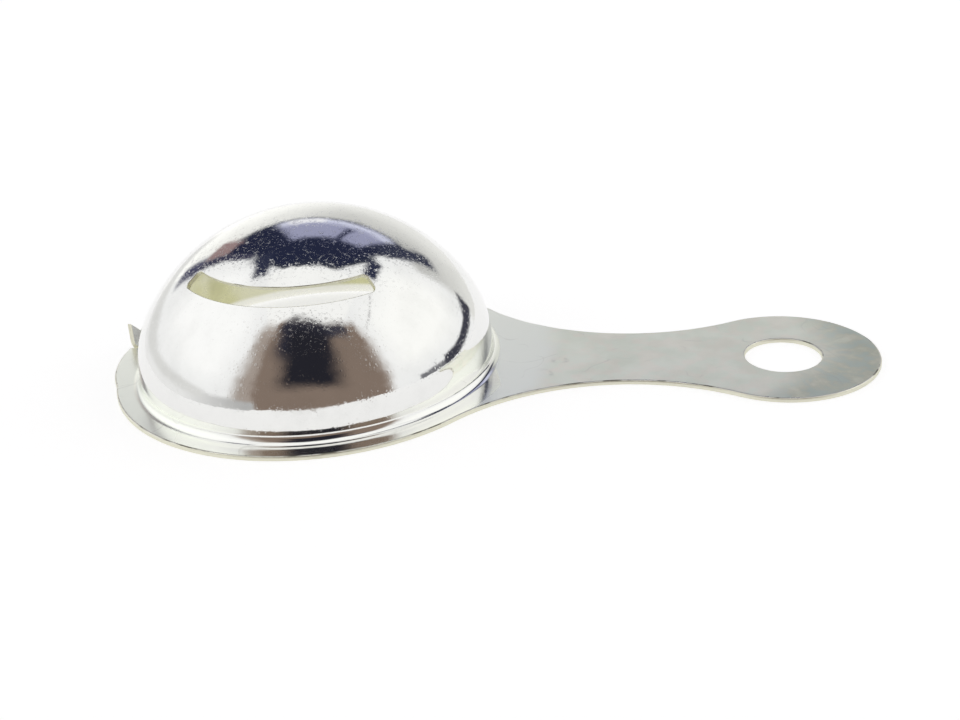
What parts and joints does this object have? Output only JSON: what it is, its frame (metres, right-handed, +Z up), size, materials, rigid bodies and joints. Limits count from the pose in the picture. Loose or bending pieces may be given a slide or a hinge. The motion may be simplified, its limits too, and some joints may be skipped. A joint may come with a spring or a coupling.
{
  "type": "egg separator",
  "caption": "Hand-held egg separator: a domed steel bowl with curved slots, set in the ring of a flat waisted handle with a hanging hole and a small upturned ear on the rim.",
  "frame": {"origin": "under the middle of the length, on the surface that the plate lies on", "axes": "+X along the handle towards its end, +Z up through the bowl's crown, with the mouth down as it lies in the picture"},
  "size_m": [0.1253, 0.066, 0.0264],
  "materials": {
    "polished_steel": "mirror polished stainless steel, finely pitted",
    "satin_steel": "satin stainless steel sheet with faint scratches"
  },
  "bodies": {
    "root": {"bowl": "polished_steel", "handle_plate": "satin_steel"}
  },
  "joints": []
}
